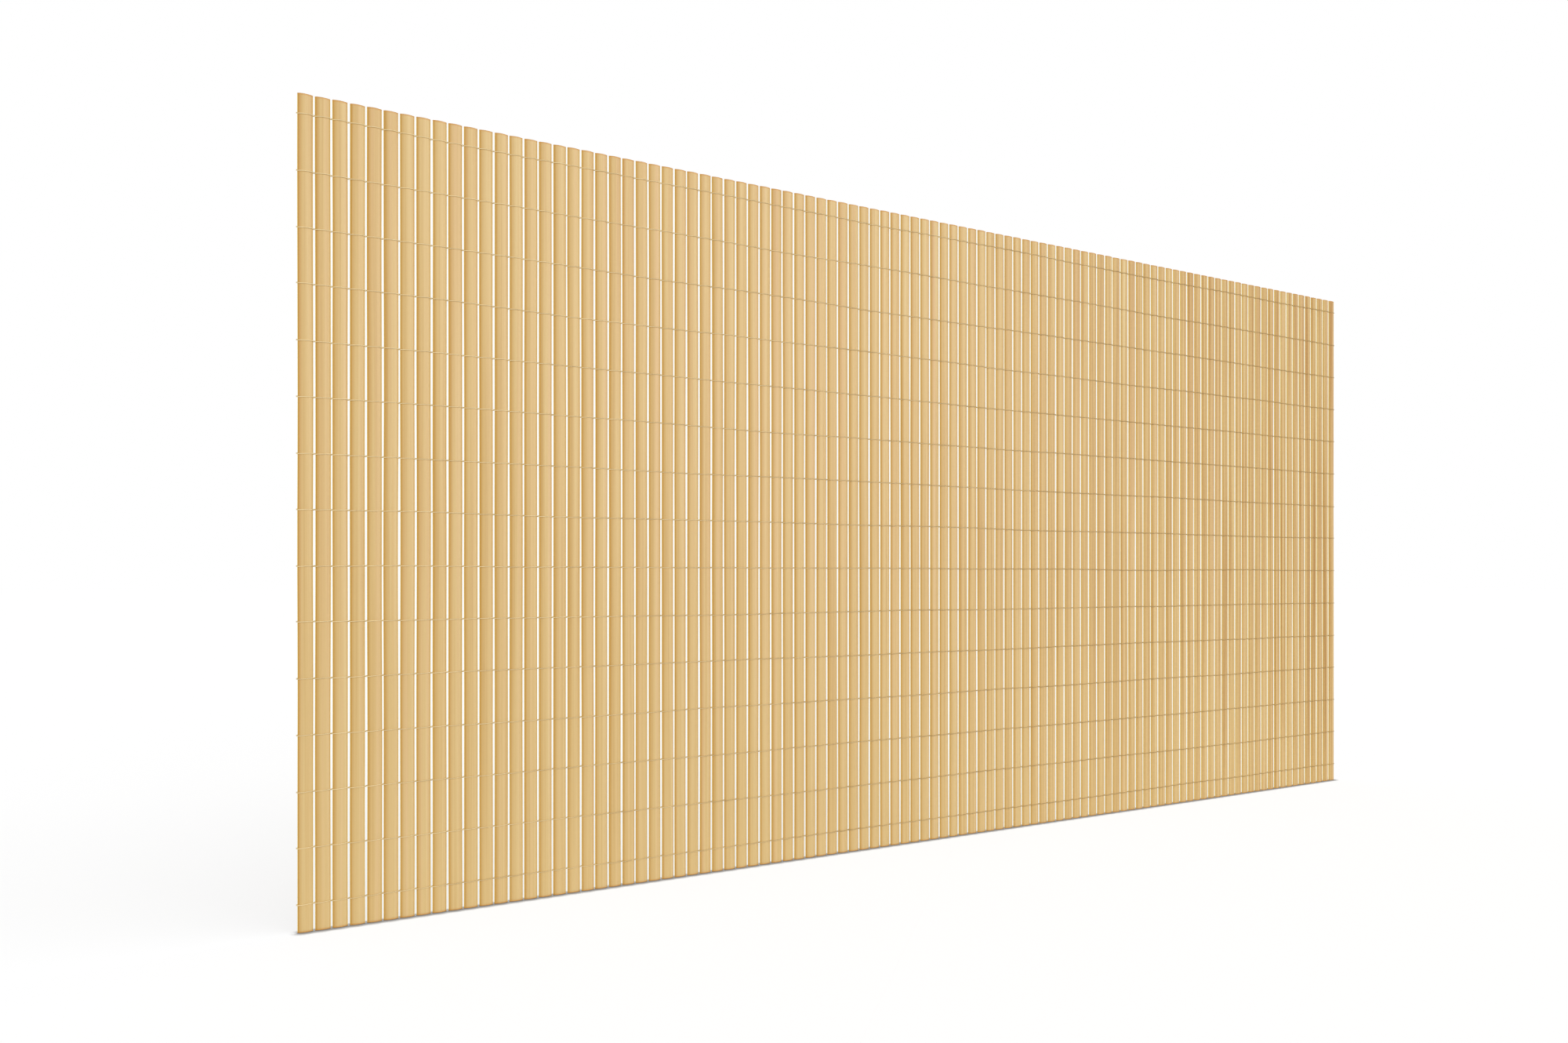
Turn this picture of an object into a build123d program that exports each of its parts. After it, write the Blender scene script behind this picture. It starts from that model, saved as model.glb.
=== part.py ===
from build123d import *

import os
from math import asin, cos, degrees, radians, sin

# PVC privacy screen: a mat of upright slats, held side by side by rows of stitching yarn.
# Millimetres, +Z up. The origin lies at the bottom edge, midway along the panel and midway
# through the depth of the slats. The front, the rounded side of the slats, faces -Y.

# Panel
PANEL_LENGTH = 3000.0  # room along X that the row of slats fills
SLAT_LENGTH = 1500.0   # height of the panel

# Slat: an extruded strip with a rounded face and an open, hollow back
SLAT_WIDTH = 26.0
SLAT_GAP = 3.4         # clear space between neighbours
FACE_RISE = 3.0        # how far the rounded face stands out from its two edges
SLAT_WALL = 1.0

# Stitching: in each row a yarn lies along the front and the back, closed round both end slats
YARN_DIAMETER = 1.4
YARN_CLEARANCE = 0.05  # between the yarn and the slats it lies on
ROW_PITCH = 101.0
ROW_MARGIN = 36.0      # top row to the top edge, and the least left under the bottom row

# Rounded face of the slat: an arc through its two edges and its crown
face_radius = ((SLAT_WIDTH / 2) ** 2 + FACE_RISE ** 2) / (2 * FACE_RISE)
hollow_radius = face_radius - SLAT_WALL
edge_angle = degrees(asin(SLAT_WIDTH / 2 / face_radius))
edge_sin = sin(radians(edge_angle))
edge_cos = cos(radians(edge_angle))
slat_depth = face_radius - hollow_radius * edge_cos
front_y = -slat_depth / 2
back_y = slat_depth / 2
arc_centre_y = front_y + face_radius

# Row of slats, centred on X = 0
slat_pitch = SLAT_WIDTH + SLAT_GAP
slat_count = int((PANEL_LENGTH + SLAT_GAP) / slat_pitch)
end_slat_x = (slat_count - 1) / 2 * slat_pitch

# Rows of stitching, counted down from the top edge
row_count = int((SLAT_LENGTH - 2 * ROW_MARGIN) / ROW_PITCH) + 1

# Line of the yarn: over the crowns in front, straight across behind, and round the end slats.
# One arc turns it round a slat's edge, from the rounded face to the straight run behind.
yarn_offset = YARN_DIAMETER / 2 + YARN_CLEARANCE
over_face_radius = face_radius + yarn_offset
round_edge_radius = yarn_offset + SLAT_WALL * edge_cos / (1 + edge_cos)


def slat_section():
    """Crescent of the slat in the XY plane: rounded face, hollow back, edges square to the wall."""
    face_edge = (face_radius * edge_sin, arc_centre_y - face_radius * edge_cos)
    hollow_edge = (hollow_radius * edge_sin, back_y)
    hollow_crown = (0, arc_centre_y - hollow_radius)
    face = ThreePointArc((-face_edge[0], face_edge[1]), (0, front_y), face_edge)
    right_edge = Line(face_edge, hollow_edge)
    hollow = ThreePointArc(hollow_edge, hollow_crown, (-hollow_edge[0], hollow_edge[1]))
    left_edge = Line((-hollow_edge[0], hollow_edge[1]), (-face_edge[0], face_edge[1]))
    return make_face([face, right_edge, hollow, left_edge])


def make_slats():
    """The whole row of slats, each a solid of its own."""
    slat = extrude(slat_section(), SLAT_LENGTH)
    places = [Pos(i * slat_pitch - end_slat_x, 0, 0) for i in range(slat_count)]
    return Compound(children=[place * slat for place in places])


def yarn_path():
    """Centre line of one row of yarn, in the XY plane: a closed loop round all the slats."""
    crown_y = front_y - yarn_offset
    behind_y = back_y + yarn_offset
    face_end = (
        end_slat_x + over_face_radius * edge_sin,
        arc_centre_y - over_face_radius * edge_cos,
    )
    turn_x = face_end[0] - round_edge_radius * edge_sin
    turn_y = face_end[1] + round_edge_radius * edge_cos

    front_run = Line((-end_slat_x, crown_y), (end_slat_x, crown_y))
    over_face = CenterArc((end_slat_x, arc_centre_y), over_face_radius, -90, edge_angle)
    round_edge = CenterArc((turn_x, turn_y), round_edge_radius, edge_angle - 90, 180 - edge_angle)
    back_run = Line((turn_x, behind_y), (-turn_x, behind_y))
    left_end = [edge.mirror(Plane.YZ) for edge in (over_face, round_edge)]
    return Wire([front_run, over_face, round_edge, back_run, *left_end])


def make_yarn_row():
    """One row of yarn at Z = 0, swept round its loop. Its square section keeps the faces few."""
    start = Plane(origin=(0, back_y + yarn_offset, 0), x_dir=(0, 1, 0), z_dir=(-1, 0, 0))
    section = start * Rectangle(YARN_DIAMETER, YARN_DIAMETER)
    return sweep(section, path=yarn_path())


os.makedirs("parts", exist_ok=True)

slats = make_slats()
export_step(slats, "parts/slats.step")
print(f"slats: {slat_count} of {SLAT_WIDTH} x {slat_depth:.2f} mm, volume {slats.volume:.0f} mm3")

yarn_row = make_yarn_row()
for row in range(row_count):
    row_z = SLAT_LENGTH - ROW_MARGIN - row * ROW_PITCH
    export_step(Pos(0, 0, row_z) * yarn_row, f"parts/stitch_yarn_{row + 1:02d}.step")
print(f"stitching: {row_count} rows, the lowest {row_z:.0f} mm up, volume {yarn_row.volume:.0f} mm3 each")
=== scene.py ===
# %% [markdown]
# # A PVC privacy screen
# A mat of upright tan PVC slats, held side by side by rows of twined yarn, stands on a white floor.
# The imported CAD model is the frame: it gives every size and place, and the pieces made here are
# the slats and the yarn as the eye sees them.

# %% Load the frame
from math import asin, atan2, cos, pi, radians, sin, sqrt

import bpy
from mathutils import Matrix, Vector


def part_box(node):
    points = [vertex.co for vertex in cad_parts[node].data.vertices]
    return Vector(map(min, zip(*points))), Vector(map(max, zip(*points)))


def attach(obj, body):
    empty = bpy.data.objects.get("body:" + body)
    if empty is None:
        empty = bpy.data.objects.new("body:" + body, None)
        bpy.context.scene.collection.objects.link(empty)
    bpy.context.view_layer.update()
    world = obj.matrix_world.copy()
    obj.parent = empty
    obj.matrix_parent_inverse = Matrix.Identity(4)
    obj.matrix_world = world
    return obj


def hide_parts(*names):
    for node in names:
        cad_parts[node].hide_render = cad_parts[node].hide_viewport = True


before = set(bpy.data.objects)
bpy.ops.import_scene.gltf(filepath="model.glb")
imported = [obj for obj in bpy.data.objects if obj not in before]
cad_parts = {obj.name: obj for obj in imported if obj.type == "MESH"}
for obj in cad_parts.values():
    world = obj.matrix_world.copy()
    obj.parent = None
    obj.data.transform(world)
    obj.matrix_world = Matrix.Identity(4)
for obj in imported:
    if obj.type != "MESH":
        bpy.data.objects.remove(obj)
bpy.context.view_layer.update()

slats_low, slats_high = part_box("slats")
panel_length = slats_high[0] - slats_low[0]
panel_height = slats_high[2] - slats_low[2]
yarn_nodes = sorted(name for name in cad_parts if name.startswith("stitch_yarn"))
print(f"panel {panel_length:.3f} x {panel_height:.3f} m, {len(yarn_nodes)} stitch rows")

# %% [markdown]
# ## Sizes of a slat and of the yarn
# A slat is a strip with a rounded face, a hollow back and round edges. Four sizes give its section:
# width, wall, how far the face stands out, and the gap to the next slat. The section could be cut from
# the frame's mesh, but one drawn from sizes is easier to follow and to change. The rest is worked out
# from these four and from the frame, so the pieces made here lie where the CAD solids are.

# %% Slat and yarn sizes
SLAT_WIDTH = 0.026
SLAT_GAP = 0.0034  # clear space between neighbours
SLAT_WALL = 0.001
FACE_RISE = 0.003  # how far the rounded face stands out from its two edges

slat_pitch = SLAT_WIDTH + SLAT_GAP
slat_count = round((panel_length + SLAT_GAP) / slat_pitch)
first_slat_x = -(slat_count - 1) / 2 * slat_pitch
face_radius = ((SLAT_WIDTH / 2) ** 2 + FACE_RISE ** 2) / (2 * FACE_RISE)
wall_radius = face_radius - SLAT_WALL / 2
edge_angle = asin((SLAT_WIDTH - SLAT_WALL) / 2 / wall_radius)
arc_centre_y = slats_low[1] + face_radius
edge_front_y = slats_low[1] + FACE_RISE
edge_back_y = arc_centre_y - wall_radius * cos(edge_angle) + SLAT_WALL / 2
gap_y = (edge_front_y + edge_back_y) / 2

row_low, row_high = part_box(yarn_nodes[0])
yarn_radius = (row_high[2] - row_low[2]) / 2
print(f"{slat_count} slats {slat_pitch * 1000:.1f} mm apart, yarn {yarn_radius * 2000:.1f} mm thick")

# %% [markdown]
# ## Camera
# The upright edges of the panel are parallel in the photograph, so the camera looks level and its
# lens is shifted. A camera could be moved about by eye until it fits, but the panel's four corners
# already say where it stands. Both edges are the same real height, so their heights in pixels give
# the distance of each, and the real length of the panel then gives the focal length.

# %% Lens from the panel's corners
PHOTO_WIDTH = 2000
PHOTO_HEIGHT = 1330
LEFT_EDGE_X, LEFT_TOP_Y, LEFT_BOTTOM_Y = 379.5, 118.0, 1190.0
RIGHT_EDGE_X, RIGHT_TOP_Y, RIGHT_BOTTOM_Y = 1701.5, 385.0, 994.0

left_scale = panel_height / (LEFT_BOTTOM_Y - LEFT_TOP_Y)
right_scale = panel_height / (RIGHT_BOTTOM_Y - RIGHT_TOP_Y)
left_x = (LEFT_EDGE_X - PHOTO_WIDTH / 2) * left_scale
right_x = (RIGHT_EDGE_X - PHOTO_WIDTH / 2) * right_scale
across_view = right_x - left_x
into_view = sqrt(panel_length ** 2 - across_view ** 2)
focal_pixels = into_view / (right_scale - left_scale)
yaw = atan2(into_view, across_view)
print(f"the panel runs {across_view:.2f} m across the view and {into_view:.2f} m into it")

# %% Place the camera
SENSOR_WIDTH = 36.0

eye_height = (LEFT_BOTTOM_Y - RIGHT_BOTTOM_Y) / (1 / left_scale - 1 / right_scale)
horizon_y = LEFT_BOTTOM_Y - eye_height / left_scale
left_depth = focal_pixels * left_scale
eye_x = slats_low[0] - left_x * cos(yaw) - left_depth * sin(yaw)
eye_y = left_x * sin(yaw) - left_depth * cos(yaw)

camera = bpy.data.objects.new("camera", bpy.data.cameras.new("camera"))
bpy.context.scene.collection.objects.link(camera)
bpy.context.scene.camera = camera
camera.location = (eye_x, eye_y, slats_low[2] + eye_height)
camera.rotation_euler = (pi / 2, 0, -yaw)
camera.data.sensor_width = SENSOR_WIDTH
camera.data.lens = focal_pixels / PHOTO_WIDTH * SENSOR_WIDTH
camera.data.shift_y = (horizon_y - PHOTO_HEIGHT / 2) / PHOTO_WIDTH
print(f"camera at {[round(v, 3) for v in camera.location]}, lens {camera.data.lens:.1f} mm")


# %% [markdown]
# ## Nodes and colours
# Materials and Geometry Nodes are both node trees, so one small function adds a node to either:
# it sets the node's own options, then fills its inputs with values or with other nodes' outputs.
# Colours are written as sRGB hex, as read off a screen, and turned to the linear values that
# Blender computes with.

# %% Helpers for node trees
def add_node(tree, kind, inputs=(), **options):
    """Add one node, set its options, and fill its inputs with values or links."""
    node = tree.nodes.new(kind)
    for name, value in options.items():
        setattr(node, name, value)
    for key, value in dict(inputs).items():
        if isinstance(value, bpy.types.NodeSocket):
            tree.links.new(value, node.inputs[key])
        else:
            node.inputs[key].default_value = value
    return node


def linear(hex_colour):
    """Linear RGBA of an sRGB hex colour."""
    channels = [int(hex_colour[i:i + 2], 16) / 255 for i in (1, 3, 5)]
    curve = [c / 12.92 if c <= 0.04045 else ((c + 0.055) / 1.055) ** 2.4 for c in channels]
    return (*curve, 1.0)


def new_material(name):
    """A material with an empty node tree, and that tree."""
    material = bpy.data.materials.new(name)
    material.use_nodes = True
    material.node_tree.nodes.clear()
    return material, material.node_tree


# %% [markdown]
# ## Floor
# The photograph has a cut-out look: white all round, with a faint shadow on the floor and a thin dark
# line where the mat stands. A plain white floor would come out grey. So the camera, and the gloss on
# the plastic, see a floor that glows, with a faint share of real shade on it. The glow dies away
# within two centimetres of the mat, and that is painted shade: the thin dark line where the mat
# stands. All other light meets a plain matt floor and is thrown back up from it at the slats.

# %% Floor material
FLOOR_COLOUR = "#D1D1D1"
FLOOR_SHADE = "#757575"
FLOOR_GLOW = 0.780
CONTACT_SHADE_REACH = 0.018
CONTACT_SHADE_DEPTH = 6.0


def sees_backdrop(tree):
    """1 for rays that show the white backdrop: from the camera, off gloss, through glass."""
    rays = add_node(tree, "ShaderNodeLightPath").outputs
    either = rays["Is Camera Ray"]
    for kind in ("Is Glossy Ray", "Is Transmission Ray"):
        larger = add_node(tree, "ShaderNodeMath", {0: either, 1: rays[kind]}, operation="MAXIMUM")
        either = larger.outputs[0]
    return either


floor_material, tree = new_material("white_floor")
matte = add_node(tree, "ShaderNodeBsdfDiffuse", {"Color": linear(FLOOR_COLOUR)})
shaded = add_node(tree, "ShaderNodeBsdfDiffuse", {"Color": linear(FLOOR_SHADE)})
# Painted shade: ambient occlusion takes the glow away near the mat and draws its thin dark contact line.
open_floor = add_node(tree, "ShaderNodeAmbientOcclusion", {"Distance": CONTACT_SHADE_REACH}).outputs["AO"]
glow_past_contact_shade = add_node(tree, "ShaderNodeMath", {0: open_floor, 1: CONTACT_SHADE_DEPTH}, operation="POWER")
glow = add_node(tree, "ShaderNodeMath", {0: glow_past_contact_shade.outputs[0], 1: FLOOR_GLOW}, operation="MULTIPLY")
shine = add_node(tree, "ShaderNodeEmission", {"Strength": glow.outputs[0]})
shown = add_node(tree, "ShaderNodeAddShader", {0: shaded.outputs[0], 1: shine.outputs[0]})
either = add_node(
    tree, "ShaderNodeMixShader", {0: sees_backdrop(tree), 1: matte.outputs[0], 2: shown.outputs[0]}
)
add_node(tree, "ShaderNodeOutputMaterial", {"Surface": either.outputs[0]})
print(f"floor finish: {len(tree.nodes)} nodes")

# %% Floor
FLOOR_REACH = 60.0
FLOOR_CLEARANCE = 0.0002  # keeps the floor off the cut ends of the slats

corners = [(-1, -1), (1, -1), (1, 1), (-1, 1)]
floor_mesh = bpy.data.meshes.new("floor")
floor_mesh.from_pydata(
    [(x * FLOOR_REACH, y * FLOOR_REACH, slats_low[2] - FLOOR_CLEARANCE) for x, y in corners],
    [], [(0, 1, 2, 3)],
)
floor_mesh.materials.append(floor_material)
floor = bpy.data.objects.new("floor", floor_mesh)
bpy.context.scene.collection.objects.link(floor)
print(f"floor {2 * FLOOR_REACH:.0f} m wide")

# %% [markdown]
# ## Backdrop and lamps
# The backdrop is white to the camera, and weaker as a fill that lights the mat from all round. Three
# sun lamps are wide, so their shadows are soft. The key stands almost straight in front, so the slats
# look flat and their colours render about as they are written. A shade from left to right would need
# a side light, but on the real mat only the sheen on the right of each slat is paler: the sheen lamp
# is low, to the right, and shows in gloss alone. The last lamp lights nothing but the floor, by light
# linking, and throws the faint shadow to the left.

# %% Backdrop
WHITE = "#FFFFFF"
FILL_STRENGTH = 0.62

world = bpy.data.worlds.new("white_studio")
bpy.context.scene.world = world
world.use_nodes = True
tree = world.node_tree
tree.nodes.clear()
strength = add_node(
    tree, "ShaderNodeMapRange", {"Value": sees_backdrop(tree), "To Min": FILL_STRENGTH, "To Max": 1.0}
)
sky = add_node(
    tree, "ShaderNodeBackground", {"Color": linear(WHITE), "Strength": strength.outputs[0]}
)
add_node(tree, "ShaderNodeOutputWorld", {"Surface": sky.outputs[0]})
bpy.context.scene.view_settings.view_transform = "Standard"
print(f"backdrop: white, fill {FILL_STRENGTH}")

# %% Lamps
# The side of a lamp is its turn from straight in front of the mat towards the right.
LAMPS = {
    "key": {
        "strength": 0.93, "spread": radians(40), "height": radians(38), "side": radians(6),
    },
    "floor_shadow": {
        "strength": 1.86, "spread": radians(50), "height": radians(50), "side": pi / 2 - yaw,
    },
    "sheen": {
        "strength": 1.8, "spread": radians(45), "height": radians(5), "side": radians(36),
    },
}

floor_alone = bpy.data.collections.new("floor_alone")
floor_alone.objects.link(floor)
for name, lamp in LAMPS.items():
    light = bpy.data.lights.new(name, "SUN")
    light.energy = lamp["strength"]
    light.angle = lamp["spread"]
    lamp_object = bpy.data.objects.new(name, light)
    lamp_object.rotation_euler = (pi / 2 - lamp["height"], 0, lamp["side"])
    lamp_object.visible_diffuse = name != "sheen"
    if name == "floor_shadow":
        lamp_object.light_linking.receiver_collection = floor_alone
    bpy.context.scene.collection.objects.link(lamp_object)
print(f"lamps: {', '.join(LAMPS)}")

# %% [markdown]
# ## Streaks of the slats
# The slats are rigid PVC, extruded, and that gives the eye a satin strip with fine lines along it and
# streaks of paler and browner plastic that imitate split reed. An image could show them, but noise
# drawn out along the strip needs no file and never repeats. It is read in the strip's own coordinates,
# which the slats carry as attributes: how far across the face a point lies, from -1 to 1, and which
# slat it is on. Object coordinates alone would run one streak over two neighbours.

# %% Noise drawn out along a slat
# The real streaks are too fine to show in the render, so they are drawn as coarse as they need to be.
STREAK_WIDTH = 0.0080
STREAK_LENGTH = 1.1
LINE_WIDTH = 0.0020
LINE_LENGTH = 0.4
STREAK_DETAIL = 1.0
STREAK_JUMP = 17.3  # in the noise, from one slat to the next

slat_finish, tree = new_material("extruded_pvc_tan")
across = add_node(tree, "ShaderNodeAttribute", attribute_name="across").outputs["Fac"]
number = add_node(tree, "ShaderNodeAttribute", attribute_name="slat_number").outputs["Fac"]
place = add_node(tree, "ShaderNodeTexCoord").outputs["Object"]
place = add_node(tree, "ShaderNodeSeparateXYZ", {0: place}).outputs


def streaks(width, length):
    """Noise drawn out along the slat: width and length are the size of one streak in metres."""
    side = add_node(
        tree, "ShaderNodeMath", {0: across, 1: SLAT_WIDTH / 2 / width}, operation="MULTIPLY"
    )
    apart = add_node(
        tree, "ShaderNodeMath", {0: number, 1: STREAK_JUMP, 2: side.outputs[0]},
        operation="MULTIPLY_ADD",
    )
    up = add_node(tree, "ShaderNodeMath", {0: place["Z"], 1: length}, operation="DIVIDE")
    where = add_node(tree, "ShaderNodeCombineXYZ", {"X": apart.outputs[0], "Y": up.outputs[0]})
    noise = add_node(
        tree, "ShaderNodeTexNoise", {"Vector": where.outputs[0], "Scale": 1.0, "Detail": STREAK_DETAIL}
    )
    return noise.outputs[0]


broad = streaks(STREAK_WIDTH, STREAK_LENGTH)
fine = streaks(LINE_WIDTH, LINE_LENGTH)
print(f"streaks {STREAK_WIDTH * 1000:.0f} mm wide, lines {LINE_WIDTH * 1000:.0f} mm wide")

# %% [markdown]
# ## From streaks to tan
# On this mat the streaks are faint at the left end and strong at the right, where it is a little
# darker too. Towards the ground all of it is paler: that is painted light, standing for the light of
# the white floor on the slats. One ramp for every slat would miss that. So the noise is centred on
# zero, scaled by a contrast that grows to the right, and added to a base level, and the ramp turns
# that level into brown, tan or pale plastic.

# %% How strong the streaks are
NOISE_MEAN = 0.5
FINE_SHARE = 0.6
SLAT_SHARE = 0.12  # how far one slat as a whole differs from the next
LEFT_LOOK = 1 / 3  # part of the mat's length that looks as its left end does
LEFT_CONTRAST = 0.6
RIGHT_CONTRAST = 1.7

pick = add_node(tree, "ShaderNodeTexWhiteNoise", {"W": number}, noise_dimensions="1D")
mixed = add_node(
    tree, "ShaderNodeMath", {0: fine, 1: FINE_SHARE, 2: broad}, operation="MULTIPLY_ADD"
)
mixed = add_node(
    tree, "ShaderNodeMath",
    {0: pick.outputs["Value"], 1: SLAT_SHARE, 2: mixed.outputs[0]}, operation="MULTIPLY_ADD",
)
mean_mix = NOISE_MEAN * (1 + FINE_SHARE + SLAT_SHARE)
centred = add_node(tree, "ShaderNodeMath", {0: mixed.outputs[0], 1: mean_mix}, operation="SUBTRACT")
left_look_end = slats_low[0] + panel_length * LEFT_LOOK
right_share = add_node(
    tree, "ShaderNodeMapRange",
    {"Value": place["X"], "From Min": left_look_end, "From Max": slats_high[0]},
    interpolation_type="SMOOTHSTEP",
).outputs[0]
contrast = add_node(
    tree, "ShaderNodeMapRange", {"Value": right_share, "To Min": LEFT_CONTRAST, "To Max": RIGHT_CONTRAST}
)
print(f"streaks grow stronger from x = {left_look_end:.2f} m to the right end")

# %% Ramp from brown to pale
LEFT_LEVEL = 0.52
RIGHT_LEVEL = 0.36
# Painted light: the base level rises towards the ground, as if the white floor lit the slats.
PAINTED_FLOOR_LIGHT_LEVEL = 0.13  # added at the ground
TAN_DARK = "#B8863B"
TAN = "#DAB673"
TAN_PALE = "#EAD297"
TAN_PLACE = 0.5  # of plain tan, on the ramp

middle_z = slats_low[2] + panel_height / 2
base_level = add_node(
    tree, "ShaderNodeMapRange", {"Value": right_share, "To Min": LEFT_LEVEL, "To Max": RIGHT_LEVEL}
)
# Share of the painted floor light, from none at mid-height to full at the ground.
painted_floor_light_share = add_node(
    tree, "ShaderNodeMapRange",
    {"Value": place["Z"], "From Min": middle_z, "From Max": slats_low[2]},
    interpolation_type="SMOOTHSTEP",
)
base_level = add_node(
    tree, "ShaderNodeMath",
    {0: painted_floor_light_share.outputs[0], 1: PAINTED_FLOOR_LIGHT_LEVEL, 2: base_level.outputs[0]}, operation="MULTIPLY_ADD",
)
level = add_node(
    tree, "ShaderNodeMath",
    {0: centred.outputs[0], 1: contrast.outputs[0], 2: base_level.outputs[0]}, operation="MULTIPLY_ADD",
)
ramp = add_node(tree, "ShaderNodeValToRGB", {"Fac": level.outputs[0]})
ramp.color_ramp.elements[0].color = linear(TAN_DARK)
ramp.color_ramp.elements[1].color = linear(TAN_PALE)
ramp.color_ramp.elements.new(TAN_PLACE).color = linear(TAN)
print(f"ramp: {TAN_DARK}, {TAN}, {TAN_PALE}")

# %% Pink streaks
PINK_WIDTH = 0.0110
PINK_LENGTH = 2.0
PINK_FROM, PINK_TO = 0.5, 0.75  # of the noise
PINK_SHARE = 0.4
TAN_PINK = "#DFB182"

pink = add_node(
    tree, "ShaderNodeMapRange",
    {"Value": streaks(PINK_WIDTH, PINK_LENGTH),
     "From Min": PINK_FROM, "From Max": PINK_TO, "To Max": PINK_SHARE},
)
tinted = add_node(
    tree, "ShaderNodeMix",
    {"Factor": pink.outputs[0], "A": ramp.outputs["Color"], "B": linear(TAN_PINK)}, data_type="RGBA",
)
print(f"pink streaks {PINK_WIDTH * 1000:.0f} mm wide")

# %% [markdown]
# ## Edges and ends of the slats
# A golden band follows the left edge of each slat and fades inwards, and it is painted shade: the left
# side of each slat darker, most of all at the left end of the mat. A narrower, weaker band follows
# the right edge. Outside them the light that the thin lip lets through is painted on it as yellow,
# and the cut ends are orange. Each could be a material of its own on a strip of faces, but that
# would end in a hard line. Here the place across the slat, or the height, blends one colour into the
# next.

# %% Painted shade along the left edge, and a golden band along the right edge
# Places across a slat run from -1 at its left edge to 1 at its right edge.
# The left band is painted shade, darkest at the slat's left edge and at the left end of the mat.
LEFT_SHADE_INNER, LEFT_SHADE_OUTER = -0.10, -0.93
LEFT_SHADE_FADE = 3.0
RIGHT_BAND_INNER, RIGHT_BAND_OUTER = 0.78, 0.93
RIGHT_BAND_SHARE = 0.55
SHADE_AND_BAND_AT_LEFT_END, SHADE_AND_BAND_AT_RIGHT_END = 0.90, 0.35  # strength along the mat
TAN_SHADE_AND_RIM = "#C48A0C"

shade_and_rim_depth = add_node(
    tree, "ShaderNodeMapRange",
    {"Value": right_share, "To Min": SHADE_AND_BAND_AT_LEFT_END, "To Max": SHADE_AND_BAND_AT_RIGHT_END},
)
painted_left_shade = add_node(
    tree, "ShaderNodeMapRange",
    {"Value": across, "From Min": LEFT_SHADE_INNER, "From Max": LEFT_SHADE_OUTER},
)
painted_left_shade = add_node(
    tree, "ShaderNodeMath", {0: painted_left_shade.outputs[0], 1: LEFT_SHADE_FADE}, operation="POWER"
)
right_rim = add_node(
    tree, "ShaderNodeMapRange",
    {"Value": across, "From Min": RIGHT_BAND_INNER, "From Max": RIGHT_BAND_OUTER,
     "To Max": RIGHT_BAND_SHARE},
)
left_shade_and_right_rim = add_node(
    tree, "ShaderNodeMath", {0: painted_left_shade.outputs[0], 1: right_rim.outputs[0]}, operation="MAXIMUM"
)
shade_and_rim = add_node(
    tree, "ShaderNodeMath", {0: left_shade_and_right_rim.outputs[0], 1: shade_and_rim_depth.outputs[0]}, operation="MULTIPLY"
)
with_shade_and_rim = add_node(
    tree, "ShaderNodeMix",
    {"Factor": shade_and_rim.outputs[0], "A": tinted.outputs["Result"], "B": linear(TAN_SHADE_AND_RIM)}, data_type="RGBA",
)
print(f"bands: {TAN_SHADE_AND_RIM}")

# %% Painted light in the lips, and orange ends
# Painted light: the lips are yellow where light shines through the thin plastic.
LIP_AT_LEFT_END, LIP_AT_RIGHT_END = 0.94, 0.88  # where the lip begins, along the mat
LIP_FULL = 0.98
END_LINE = 0.004
END_SHARE = 0.85
PAINTED_LIP_GLOW = "#FFE870"
TAN_END = "#CE8C24"

off_middle = add_node(tree, "ShaderNodeMath", {0: across}, operation="ABSOLUTE")
lip_start = add_node(
    tree, "ShaderNodeMapRange",
    {"Value": right_share, "To Min": LIP_AT_LEFT_END, "To Max": LIP_AT_RIGHT_END},
)
# Where the painted lip light is laid on, near both edges of each slat.
lip = add_node(
    tree, "ShaderNodeMapRange",
    {"Value": off_middle.outputs[0], "From Min": lip_start.outputs[0], "From Max": LIP_FULL},
)
with_lip_glow = add_node(
    tree, "ShaderNodeMix",
    {"Factor": lip.outputs[0], "A": with_shade_and_rim.outputs["Result"], "B": linear(PAINTED_LIP_GLOW)}, data_type="RGBA",
)
from_middle = add_node(tree, "ShaderNodeMath", {0: place["Z"], 1: middle_z}, operation="SUBTRACT")
from_middle = add_node(tree, "ShaderNodeMath", {0: from_middle.outputs[0]}, operation="ABSOLUTE")
end = add_node(
    tree, "ShaderNodeMapRange",
    {"Value": from_middle.outputs[0], "From Min": panel_height / 2 - END_LINE,
     "From Max": panel_height / 2, "To Max": END_SHARE},
)
edged = add_node(
    tree, "ShaderNodeMix",
    {"Factor": end.outputs[0], "A": with_lip_glow.outputs["Result"], "B": linear(TAN_END)}, data_type="RGBA",
)
print(f"lips: {PAINTED_LIP_GLOW}, ends: {TAN_END}")

# %% [markdown]
# ## Surface of the slats
# Extruded PVC comes out of the die with a satin skin. Its roughness follows the fine lines, so they
# show in the sheen as well as in the colour, and the skin is duller towards the right end of the mat.
# The lines are far too shallow to be modelled, so a slight bump stands for them.

# %% Slat surface
PVC_IOR = 1.53
SATIN_SMOOTH, SATIN_DULL = 0.38, 0.54  # roughness
RIGHT_DULL = 0.22  # added to the roughness at the right end
LINE_BUMP = 0.25
LINE_DEPTH = 0.0003

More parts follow.
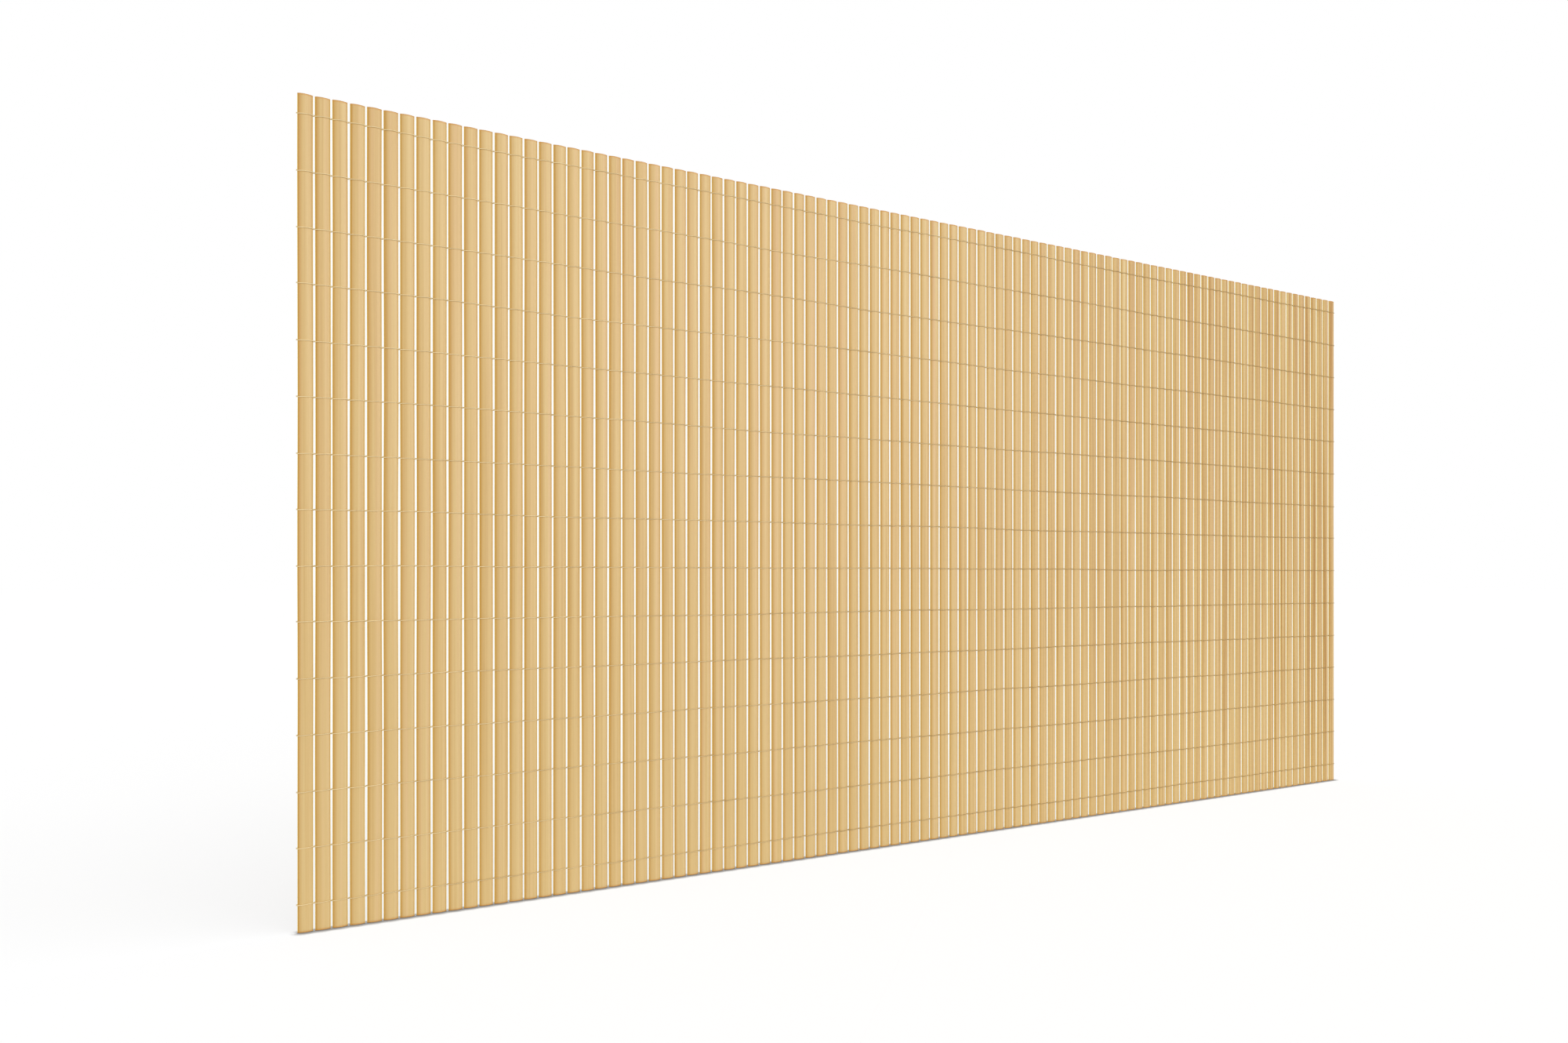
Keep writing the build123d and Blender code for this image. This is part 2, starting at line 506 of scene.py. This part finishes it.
satin = add_node(
    tree, "ShaderNodeMapRange", {"Value": fine, "To Min": SATIN_SMOOTH, "To Max": SATIN_DULL}
)
rough = add_node(
    tree, "ShaderNodeMath", {0: right_share, 1: RIGHT_DULL, 2: satin.outputs[0]},
    operation="MULTIPLY_ADD",
)
bump = add_node(
    tree, "ShaderNodeBump", {"Strength": LINE_BUMP, "Distance": LINE_DEPTH, "Height": fine}
)
surface = add_node(
    tree, "ShaderNodeBsdfPrincipled",
    {"Base Color": edged.outputs["Result"], "Roughness": rough.outputs[0], "IOR": PVC_IOR,
     "Normal": bump.outputs[0]},
)
add_node(tree, "ShaderNodeOutputMaterial", {"Surface": surface.outputs[0]})
print(f"slat finish: {len(tree.nodes)} nodes")

# %% [markdown]
# ## Twist of the yarn
# The yarn is polyester, two plies twisted together, and that gives the eye a matt thread that is paler
# on the turns and browner between them. The plies could be modelled, but at this size a wave of colour
# and bump is enough. The twist follows the yarn, so it is drawn from the distance along it and the
# place round it, which the yarn carries as attributes.

# %% Plies of the yarn
TWIST_LAY = 0.0045  # length of one turn
YARN_PLIES = 2
YARN_PALE = "#FFF4CC"
YARN_TAN = "#F6D68E"
YARN_BROWN = "#66431A"

yarn_finish, tree = new_material("twisted_polyester_yarn")
along = add_node(tree, "ShaderNodeAttribute", attribute_name="along").outputs["Fac"]
around = add_node(tree, "ShaderNodeAttribute", attribute_name="around").outputs["Fac"]
turns = add_node(
    tree, "ShaderNodeMath", {0: along, 1: 1 / TWIST_LAY, 2: around}, operation="MULTIPLY_ADD"
)
phase = add_node(
    tree, "ShaderNodeMath", {0: turns.outputs[0], 1: 2 * pi * YARN_PLIES}, operation="MULTIPLY"
)
wave = add_node(tree, "ShaderNodeMath", {0: phase.outputs[0]}, operation="SINE")
ply = add_node(tree, "ShaderNodeMapRange", {"Value": wave.outputs[0], "From Min": -1.0}).outputs[0]
pale = add_node(
    tree, "ShaderNodeMix", {"Factor": ply, "A": linear(YARN_TAN), "B": linear(YARN_PALE)},
    data_type="RGBA",
)
brown = add_node(
    tree, "ShaderNodeMix", {"Factor": ply, "A": linear(YARN_BROWN), "B": linear(YARN_TAN)},
    data_type="RGBA",
)
print(f"yarn: {YARN_PLIES} plies, one turn in {TWIST_LAY * 1000:.1f} mm")

# %% [markdown]
# ## Bleached and brown yarn
# The yarn is bleached in patches. It is also paler towards the top, and paler towards the left end
# of the mat, where the pale is painted light, and down in the gaps it is brown, which is painted
# shade. Two yarn materials would change at one point, so a single one blends pale twist into brown
# twist: by a slow noise, by the place on the mat and by the depth in a gap.

# %% Yarn surface
BLEACH_LENGTH = 0.12
BLEACH_DETAIL = 1.0
# Painted light: the yarn is paler towards the left end of the mat and browner towards the right.
LEFT_PAINTED_LIGHT_BROWN, RIGHT_PAINTED_LIGHT_BROWN = -0.7, 0.8  # added to the noise at the two ends of the mat
LOW_BROWN = 0.35  # added at the ground
YARN_ROUGHNESS = 0.8
YARN_IOR = 1.5
PLY_BUMP = 0.6
PLY_DEPTH = 0.0002

spot = add_node(tree, "ShaderNodeTexCoord").outputs["Object"]
place = add_node(tree, "ShaderNodeSeparateXYZ", {0: spot}).outputs
painted_light_across_mat = add_node(
    tree, "ShaderNodeMapRange",
    {"Value": place["X"], "From Min": slats_low[0], "From Max": slats_high[0],
     "To Min": LEFT_PAINTED_LIGHT_BROWN, "To Max": RIGHT_PAINTED_LIGHT_BROWN},
)
down_mat = add_node(
    tree, "ShaderNodeMapRange",
    {"Value": place["Z"], "From Min": slats_high[2], "From Max": slats_low[2], "To Max": LOW_BROWN},
)
patch = add_node(
    tree, "ShaderNodeTexNoise", {"Vector": spot, "Scale": 1 / BLEACH_LENGTH, "Detail": BLEACH_DETAIL}
)
share = add_node(
    tree, "ShaderNodeMath", {0: patch.outputs[0], 1: painted_light_across_mat.outputs[0]}, operation="ADD"
)
share = add_node(
    tree, "ShaderNodeMath", {0: share.outputs[0], 1: down_mat.outputs[0]},
    operation="ADD", use_clamp=True,
)
# Painted shade: the yarn turns brown where it goes down into a gap between slats.
painted_gap_shade = add_node(
    tree, "ShaderNodeMapRange",
    {"Value": place["Y"], "From Min": edge_front_y - yarn_radius, "From Max": gap_y},
)
share = add_node(
    tree, "ShaderNodeMath", {0: share.outputs[0], 1: painted_gap_shade.outputs[0]}, operation="MAXIMUM"
)
shade = add_node(
    tree, "ShaderNodeMix",
    {"Factor": share.outputs[0], "A": pale.outputs["Result"], "B": brown.outputs["Result"]},
    data_type="RGBA",
)
bump = add_node(
    tree, "ShaderNodeBump", {"Strength": PLY_BUMP, "Distance": PLY_DEPTH, "Height": ply}
)
surface = add_node(
    tree, "ShaderNodeBsdfPrincipled",
    {"Base Color": shade.outputs["Result"], "Roughness": YARN_ROUGHNESS, "IOR": YARN_IOR,
     "Normal": bump.outputs[0]},
)
add_node(tree, "ShaderNodeOutputMaterial", {"Surface": surface.outputs[0]})
print(f"yarn finish: {len(tree.nodes)} nodes")

# %% [markdown]
# ## One slat
# The section of a slat is four arcs, so its corners come from a formula, and the strip is that section
# repeated up its length, in enough steps to bow. A cylinder cut in Blender would give the face but not
# the even wall and the round edges. Two rings close to the cut ends keep the shading level up to them.

# %% Section of one slat
FACE_STEPS = 8
EDGE_STEPS = 3


def slat_section():
    """Corners once round the section: face from left to right, right edge, hollow, left edge."""
    def arc(radius, start, end, steps):
        angles = [start + (end - start) * i / steps for i in range(steps + 1)]
        return [(radius * sin(a), arc_centre_y - radius * cos(a)) for a in angles]

    def edge(side):
        centre = (side * wall_radius * sin(edge_angle), arc_centre_y - wall_radius * cos(edge_angle))
        turns = [side * edge_angle + side * pi * i / EDGE_STEPS for i in range(1, EDGE_STEPS)]
        return [(centre[0] + SLAT_WALL / 2 * sin(t), centre[1] - SLAT_WALL / 2 * cos(t)) for t in turns]

    face = arc(face_radius, -edge_angle, edge_angle, FACE_STEPS)
    hollow = arc(face_radius - SLAT_WALL, edge_angle, -edge_angle, FACE_STEPS)
    return face + edge(1) + hollow + edge(-1)[::-1]


section = slat_section()
print(f"section of a slat: {len(section)} corners")

# %% Mesh of one slat
LENGTH_STEPS = 14
END_RING = 0.001


def slat_mesh():
    """One slat from the ground up, closed at both ends, with the place across it as an attribute."""
    size = len(section)
    inner = [panel_height * i / LENGTH_STEPS for i in range(1, LENGTH_STEPS)]
    rings = [0, END_RING, *inner, panel_height - END_RING, panel_height]
    points = [(x, y, z) for z in rings for x, y in section]
    faces = []
    for ring in range(len(rings) - 1):
        for i in range(size):
            right = (i + 1) % size
            faces.append((
                ring * size + i, ring * size + right,
                (ring + 1) * size + right, (ring + 1) * size + i,
            ))
    faces.append(tuple(range(size))[::-1])
    faces.append(tuple(len(points) - size + i for i in range(size)))
    mesh = bpy.data.meshes.new("one_slat")
    mesh.from_pydata(points, [], faces)
    mesh.shade_smooth()
    for cut_end in (-2, -1):
        mesh.polygons[cut_end].use_smooth = False
    across = mesh.attributes.new("across", "FLOAT", "POINT")
    across.data.foreach_set("value", [x / (SLAT_WIDTH / 2) for x, y, z in points])
    return mesh


one_slat = slat_mesh()
print(f"one slat: {len(one_slat.polygons)} faces")


# %% [markdown]
# ## The row of slats
# Repeating one slat is a job for Geometry Nodes: a line of points, one slat on each, and then small
# faults that a real mat has. An Array modifier would repeat the slat too, but every copy would be the
# same. Here each slat is turned by about a degree, cut a hair long or short, and bowed sideways by a
# slow noise, with a fixed seed so that every run gives the same mat.

# %% Slat row tree: place the slats
def new_tree(name, sockets):
    """An empty Geometry Nodes tree with the named inputs and one geometry output."""
    tree = bpy.data.node_groups.new(name, "GeometryNodeTree")
    tree.interface.new_socket("Geometry", in_out="OUTPUT", socket_type="NodeSocketGeometry")
    for label, kind in sockets.items():
        tree.interface.new_socket(label, in_out="INPUT", socket_type=kind)
    return tree


slat_row_tree = tree = new_tree("slat_row", {
    "Slat": "NodeSocketGeometry",
    "Count": "NodeSocketInt",
    "Pitch": "NodeSocketFloat",
    "First": "NodeSocketFloat",
    "Turn": "NodeSocketFloat",
    "Cut": "NodeSocketFloat",
    "Bow": "NodeSocketFloat",
    "Bow length": "NodeSocketFloat",
    "Seed": "NodeSocketInt",
    "Finish": "NodeSocketMaterial",
})
given = add_node(tree, "NodeGroupInput").outputs
start = add_node(tree, "ShaderNodeCombineXYZ", {"X": given["First"]})
step = add_node(tree, "ShaderNodeCombineXYZ", {"X": given["Pitch"]})
line = add_node(
    tree, "GeometryNodeMeshLine",
    {"Count": given["Count"], "Start Location": start.outputs[0], "Offset": step.outputs[0]},
)
number = add_node(tree, "GeometryNodeInputIndex").outputs[0]
turn_low = add_node(tree, "ShaderNodeMath", {0: given["Turn"], 1: -1.0}, operation="MULTIPLY")
turn = add_node(
    tree, "FunctionNodeRandomValue",
    {"Min": turn_low.outputs[0], "Max": given["Turn"], "ID": number, "Seed": given["Seed"]},
)
facing = add_node(tree, "ShaderNodeCombineXYZ", {"Z": turn.outputs["Value"]})
facing = add_node(tree, "FunctionNodeEulerToRotation", {0: facing.outputs[0]})
cut_low = add_node(tree, "ShaderNodeMath", {0: 1.0, 1: given["Cut"]}, operation="SUBTRACT")
cut_high = add_node(tree, "ShaderNodeMath", {0: 1.0, 1: given["Cut"]}, operation="ADD")
length = add_node(
    tree, "FunctionNodeRandomValue",
    {"Min": cut_low.outputs[0], "Max": cut_high.outputs[0], "ID": number, "Seed": given["Seed"]},
)
stretch = add_node(tree, "ShaderNodeCombineXYZ", {"X": 1.0, "Y": 1.0, "Z": length.outputs["Value"]})
placed = add_node(
    tree, "GeometryNodeInstanceOnPoints",
    {"Points": line.outputs[0], "Instance": given["Slat"], "Rotation": facing.outputs[0],
     "Scale": stretch.outputs[0]},
)
print(f"slats placed by {len(tree.nodes)} nodes")

# %% [markdown]
# The number of each slat is stored while the slats are still instances, because afterwards they are
# one mesh. The streaks of the finish need it, and so does the bow: each slat reads its own stretch of
# the noise, or all of them would lean the same way.

# %% Slat row tree: bow the slats
BOW_JUMP = 5.7  # in the noise, from one slat to the next
BOW_DETAIL = 1.0

counted = add_node(
    tree, "GeometryNodeStoreNamedAttribute",
    {"Geometry": placed.outputs[0], "Name": "slat_number", "Value": number},
    domain="INSTANCE", data_type="FLOAT",
)
real = add_node(tree, "GeometryNodeRealizeInstances", {0: counted.outputs[0]})
own_number = add_node(
    tree, "GeometryNodeInputNamedAttribute", {"Name": "slat_number"}, data_type="FLOAT"
)
position = add_node(tree, "GeometryNodeInputPosition")
position = add_node(tree, "ShaderNodeSeparateXYZ", {0: position.outputs[0]})
up = add_node(
    tree, "ShaderNodeMath", {0: position.outputs["Z"], 1: given["Bow length"]}, operation="DIVIDE"
)
apart = add_node(
    tree, "ShaderNodeMath", {0: own_number.outputs[0], 1: BOW_JUMP, 2: given["Seed"]},
    operation="MULTIPLY_ADD",
)
where = add_node(tree, "ShaderNodeCombineXYZ", {"X": apart.outputs[0], "Y": up.outputs[0]})
noise = add_node(
    tree, "ShaderNodeTexNoise", {"Vector": where.outputs[0], "Scale": 1.0, "Detail": BOW_DETAIL}
)
swing = add_node(tree, "ShaderNodeMath", {0: noise.outputs[0], 1: NOISE_MEAN}, operation="SUBTRACT")
sway = add_node(tree, "ShaderNodeMath", {0: swing.outputs[0], 1: given["Bow"]}, operation="MULTIPLY")
aside = add_node(tree, "ShaderNodeCombineXYZ", {"X": sway.outputs[0]})
bowed = add_node(
    tree, "GeometryNodeSetPosition", {"Geometry": real.outputs[0], "Offset": aside.outputs[0]}
)
finished = add_node(
    tree, "GeometryNodeSetMaterial", {"Geometry": bowed.outputs[0], "Material": given["Finish"]}
)
add_node(tree, "NodeGroupOutput", {0: finished.outputs[0]})
print(f"slat row tree: {len(tree.nodes)} nodes")


# %% [markdown]
# A modifier's inputs are set by the identifier of each socket, and then the evaluated object is
# turned into a plain mesh. The modifier goes, so that the finished piece is geometry and nothing else.

# %% Make the slats
def grow(name, mesh, tree, values):
    """Run a tree on a mesh with the given inputs and return an object that holds the plain result."""
    seedling = bpy.data.objects.new(name, mesh)
    bpy.context.scene.collection.objects.link(seedling)
    modifier = seedling.modifiers.new(tree.name, "NODES")
    modifier.node_group = tree
    for socket in tree.interface.items_tree:
        if socket.in_out == "INPUT" and socket.name in values:
            modifier[socket.identifier] = values[socket.name]
    evaluated = seedling.evaluated_get(bpy.context.evaluated_depsgraph_get())
    result = bpy.data.meshes.new_from_object(evaluated)
    seedling.modifiers.remove(modifier)
    seedling.data = result
    result.name = name
    return seedling


SLAT_TURN = radians(1.2)
SLAT_CUT = 0.0002  # share of the length
SLAT_BOW = 0.0030
SLAT_BOW_LENGTH = 0.55
SLAT_SEED = 4

slats = grow("pvc_slats", one_slat, slat_row_tree, {
    "Count": slat_count,
    "Pitch": slat_pitch,
    "First": first_slat_x,
    "Turn": SLAT_TURN,
    "Cut": SLAT_CUT,
    "Bow": SLAT_BOW,
    "Bow length": SLAT_BOW_LENGTH,
    "Seed": SLAT_SEED,
    "Finish": slat_finish,
})
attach(slats, "root")
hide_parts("slats")
print(f"{slats.name}: {len(slats.data.polygons)} faces")

# %% [markdown]
# ## The twined yarn
# Each row is a pair of yarns. Over every slat one lies in front and the other behind, and in every
# gap they change places, one passing above the other. The whole row could be written out, but two
# slats make one stitch of the pattern, so its line is drawn once, as a short chain of points for each
# yarn.

# %% Line of one stitch
YARN_LIFT = 0.0002  # clear space between the yarn and the slats
YARN_SLANT = 0.0008  # half the height between the two yarns in a gap
FRONT_STEPS = 6

behind_y = edge_back_y + yarn_radius + YARN_LIFT
over_radius = face_radius + yarn_radius + YARN_LIFT


def stitch_line(front_first):
    """One yarn over two slats, from gap to gap: it rises in front of one and falls behind the other."""
    points = []
    for slat in (0, 1):
        centre = slat * slat_pitch
        in_front = (slat == 0) == front_first
        rise = YARN_SLANT if in_front else -YARN_SLANT
        stops = range(FRONT_STEPS + 1) if in_front else (0, FRONT_STEPS / 2, FRONT_STEPS)
        points.append((centre - slat_pitch / 2, gap_y, -rise))
        for stop in stops:
            share = 2 * stop / FRONT_STEPS - 1
            x = share * SLAT_WIDTH / 2
            y = arc_centre_y - sqrt(over_radius ** 2 - x ** 2) if in_front else behind_y
            points.append((centre + x, y, rise * share * SLAT_WIDTH / slat_pitch))
    points.append((centre + slat_pitch / 2, gap_y, rise))
    return points


def chain_mesh(name, chains):
    """A mesh of points and edges alone, one chain of edges for each list of points."""
    points = []
    edges = []
    for chain in chains:
        first = len(points)
        points += chain
        edges += [(first + i, first + i + 1) for i in range(len(chain) - 1)]
    mesh = bpy.data.meshes.new(name)
    mesh.from_pydata(points, edges, [])
    return mesh


one_stitch = chain_mesh("one_stitch", [stitch_line(True), stitch_line(False)])
print(f"one stitch: {len(one_stitch.vertices)} points")

# %% [markdown]
# Geometry Nodes repeat the stitch along the row and close the pair of yarns at both ends of it. The
# stitches meet point on point, so a merge by distance joins them all into one loop, which a curve
# can follow.

# %% Yarn row tree: one loop of stitches
WELD_DISTANCE = 0.00005

yarn_row_tree = tree = new_tree("yarn_row", {
    "Stitch": "NodeSocketGeometry",
    "Repeats": "NodeSocketInt",
    "Repeat length": "NodeSocketFloat",
    "First": "NodeSocketFloat",
    "End": "NodeSocketFloat",
    "Gap depth": "NodeSocketFloat",
    "Slant": "NodeSocketFloat",
    "Radius": "NodeSocketFloat",
    "Height": "NodeSocketFloat",
    "Wander": "NodeSocketFloat",
    "Wander length": "NodeSocketFloat",
    "Seed": "NodeSocketFloat",
    "Finish": "NodeSocketMaterial",
})
given = add_node(tree, "NodeGroupInput").outputs
start = add_node(tree, "ShaderNodeCombineXYZ", {"X": given["First"]})
step = add_node(tree, "ShaderNodeCombineXYZ", {"X": given["Repeat length"]})
line = add_node(
    tree, "GeometryNodeMeshLine",
    {"Count": given["Repeats"], "Start Location": start.outputs[0], "Offset": step.outputs[0]},
)
placed = add_node(
    tree, "GeometryNodeInstanceOnPoints", {"Points": line.outputs[0], "Instance": given["Stitch"]}
)
real = add_node(tree, "GeometryNodeRealizeInstances", {0: placed.outputs[0]})
pieces = [real.outputs[0]]
low = add_node(tree, "ShaderNodeMath", {0: given["Slant"], 1: -1.0}, operation="MULTIPLY")
for side in (-1.0, 1.0):
    end = add_node(tree, "ShaderNodeMath", {0: given["End"], 1: side}, operation="MULTIPLY")
    under = add_node(
        tree, "ShaderNodeCombineXYZ",
        {"X": end.outputs[0], "Y": given["Gap depth"], "Z": low.outputs[0]},
    )
    over = add_node(
        tree, "ShaderNodeCombineXYZ",
        {"X": end.outputs[0], "Y": given["Gap depth"], "Z": given["Slant"]},
    )
    closing = add_node(
        tree, "GeometryNodeMeshLine",
        {"Count": 2, "Start Location": under.outputs[0], "Offset": over.outputs[0]},
        mode="END_POINTS",
    )
    pieces.append(closing.outputs[0])
joined = add_node(tree, "GeometryNodeJoinGeometry")
for piece in pieces:
    tree.links.new(piece, joined.inputs[0])
welded = add_node(
    tree, "GeometryNodeMergeByDistance", {"Geometry": joined.outputs[0], "Distance": WELD_DISTANCE}
)
loop = add_node(tree, "GeometryNodeMeshToCurve", {0: welded.outputs[0]})
print(f"stitches joined by {len(tree.nodes)} nodes")

# %% [markdown]
# A slow noise lets each row wander up and down, as the rows of a machine-stitched mat do. Then a ring
# is swept along the loop to give the yarn its thickness. The distance along the loop and the place
# round the ring are stored for the twist in its finish.

# %% Yarn row tree: wander and thickness
WANDER_DETAIL = 2.0
YARN_SIDES = 6

position = add_node(tree, "GeometryNodeInputPosition")
position = add_node(tree, "ShaderNodeSeparateXYZ", {0: position.outputs[0]})
out = add_node(
    tree, "ShaderNodeMath", {0: position.outputs["X"], 1: given["Wander length"]}, operation="DIVIDE"
)
where = add_node(tree, "ShaderNodeCombineXYZ", {"X": out.outputs[0], "Y": given["Seed"]})
noise = add_node(
    tree, "ShaderNodeTexNoise", {"Vector": where.outputs[0], "Scale": 1.0, "Detail": WANDER_DETAIL}
)
swing = add_node(tree, "ShaderNodeMath", {0: noise.outputs[0], 1: NOISE_MEAN}, operation="SUBTRACT")
lift = add_node(
    tree, "ShaderNodeMath", {0: swing.outputs[0], 1: given["Wander"], 2: given["Height"]},
    operation="MULTIPLY_ADD",
)
raised = add_node(tree, "ShaderNodeCombineXYZ", {"Z": lift.outputs[0]})
wavy = add_node(
    tree, "GeometryNodeSetPosition", {"Geometry": loop.outputs[0], "Offset": raised.outputs[0]}
)
distance = add_node(tree, "GeometryNodeSplineParameter")
measured = add_node(
    tree, "GeometryNodeStoreNamedAttribute",
    {"Geometry": wavy.outputs[0], "Name": "along", "Value": distance.outputs["Length"]},
    domain="POINT", data_type="FLOAT",
)
ring = add_node(
    tree, "GeometryNodeCurvePrimitiveCircle", {"Resolution": YARN_SIDES, "Radius": given["Radius"]}
)
round_share = add_node(tree, "GeometryNodeSplineParameter")
marked = add_node(
    tree, "GeometryNodeStoreNamedAttribute",
    {"Geometry": ring.outputs[0], "Name": "around", "Value": round_share.outputs["Factor"]},
    domain="POINT", data_type="FLOAT",
)
tube = add_node(
    tree, "GeometryNodeCurveToMesh", {"Curve": measured.outputs[0], "Profile Curve": marked.outputs[0]}
)
smooth = add_node(tree, "GeometryNodeSetShadeSmooth", {"Geometry": tube.outputs[0]})
finished = add_node(
    tree, "GeometryNodeSetMaterial", {"Geometry": smooth.outputs[0], "Material": given["Finish"]}
)
add_node(tree, "NodeGroupOutput", {0: finished.outputs[0]})
print(f"yarn row tree: {len(tree.nodes)} nodes")

# %% [markdown]
# Every row runs the same tree at the height of its own CAD node. One mesh with all the rows would be
# shorter to make, but each row is a piece of its own on the part, so each gets its own object. Only
# the place in the noise differs from row to row.

# %% Make the rows of yarn
YARN_WANDER = 0.009
YARN_WANDER_LENGTH = 0.45
ROW_JUMP = 7.9  # in the noise, from one row to the next

for row, node in enumerate(yarn_nodes, start=1):
    low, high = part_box(node)
    yarn = grow(f"twined_yarn_{row:02d}", one_stitch.copy(), yarn_row_tree, {
        "Repeats": slat_count // 2,
        "Repeat length": 2 * slat_pitch,
        "First": first_slat_x,
        "End": slat_count / 2 * slat_pitch,
        "Gap depth": gap_y,
        "Slant": YARN_SLANT,
        "Radius": yarn_radius,
        "Height": (low[2] + high[2]) / 2,
        "Wander": YARN_WANDER,
        "Wander length": YARN_WANDER_LENGTH,
        "Seed": row * ROW_JUMP,
        "Finish": yarn_finish,
    })
    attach(yarn, "root")
    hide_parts(node)
print(f"{len(yarn_nodes)} rows of yarn, {len(yarn.data.polygons)} faces each")
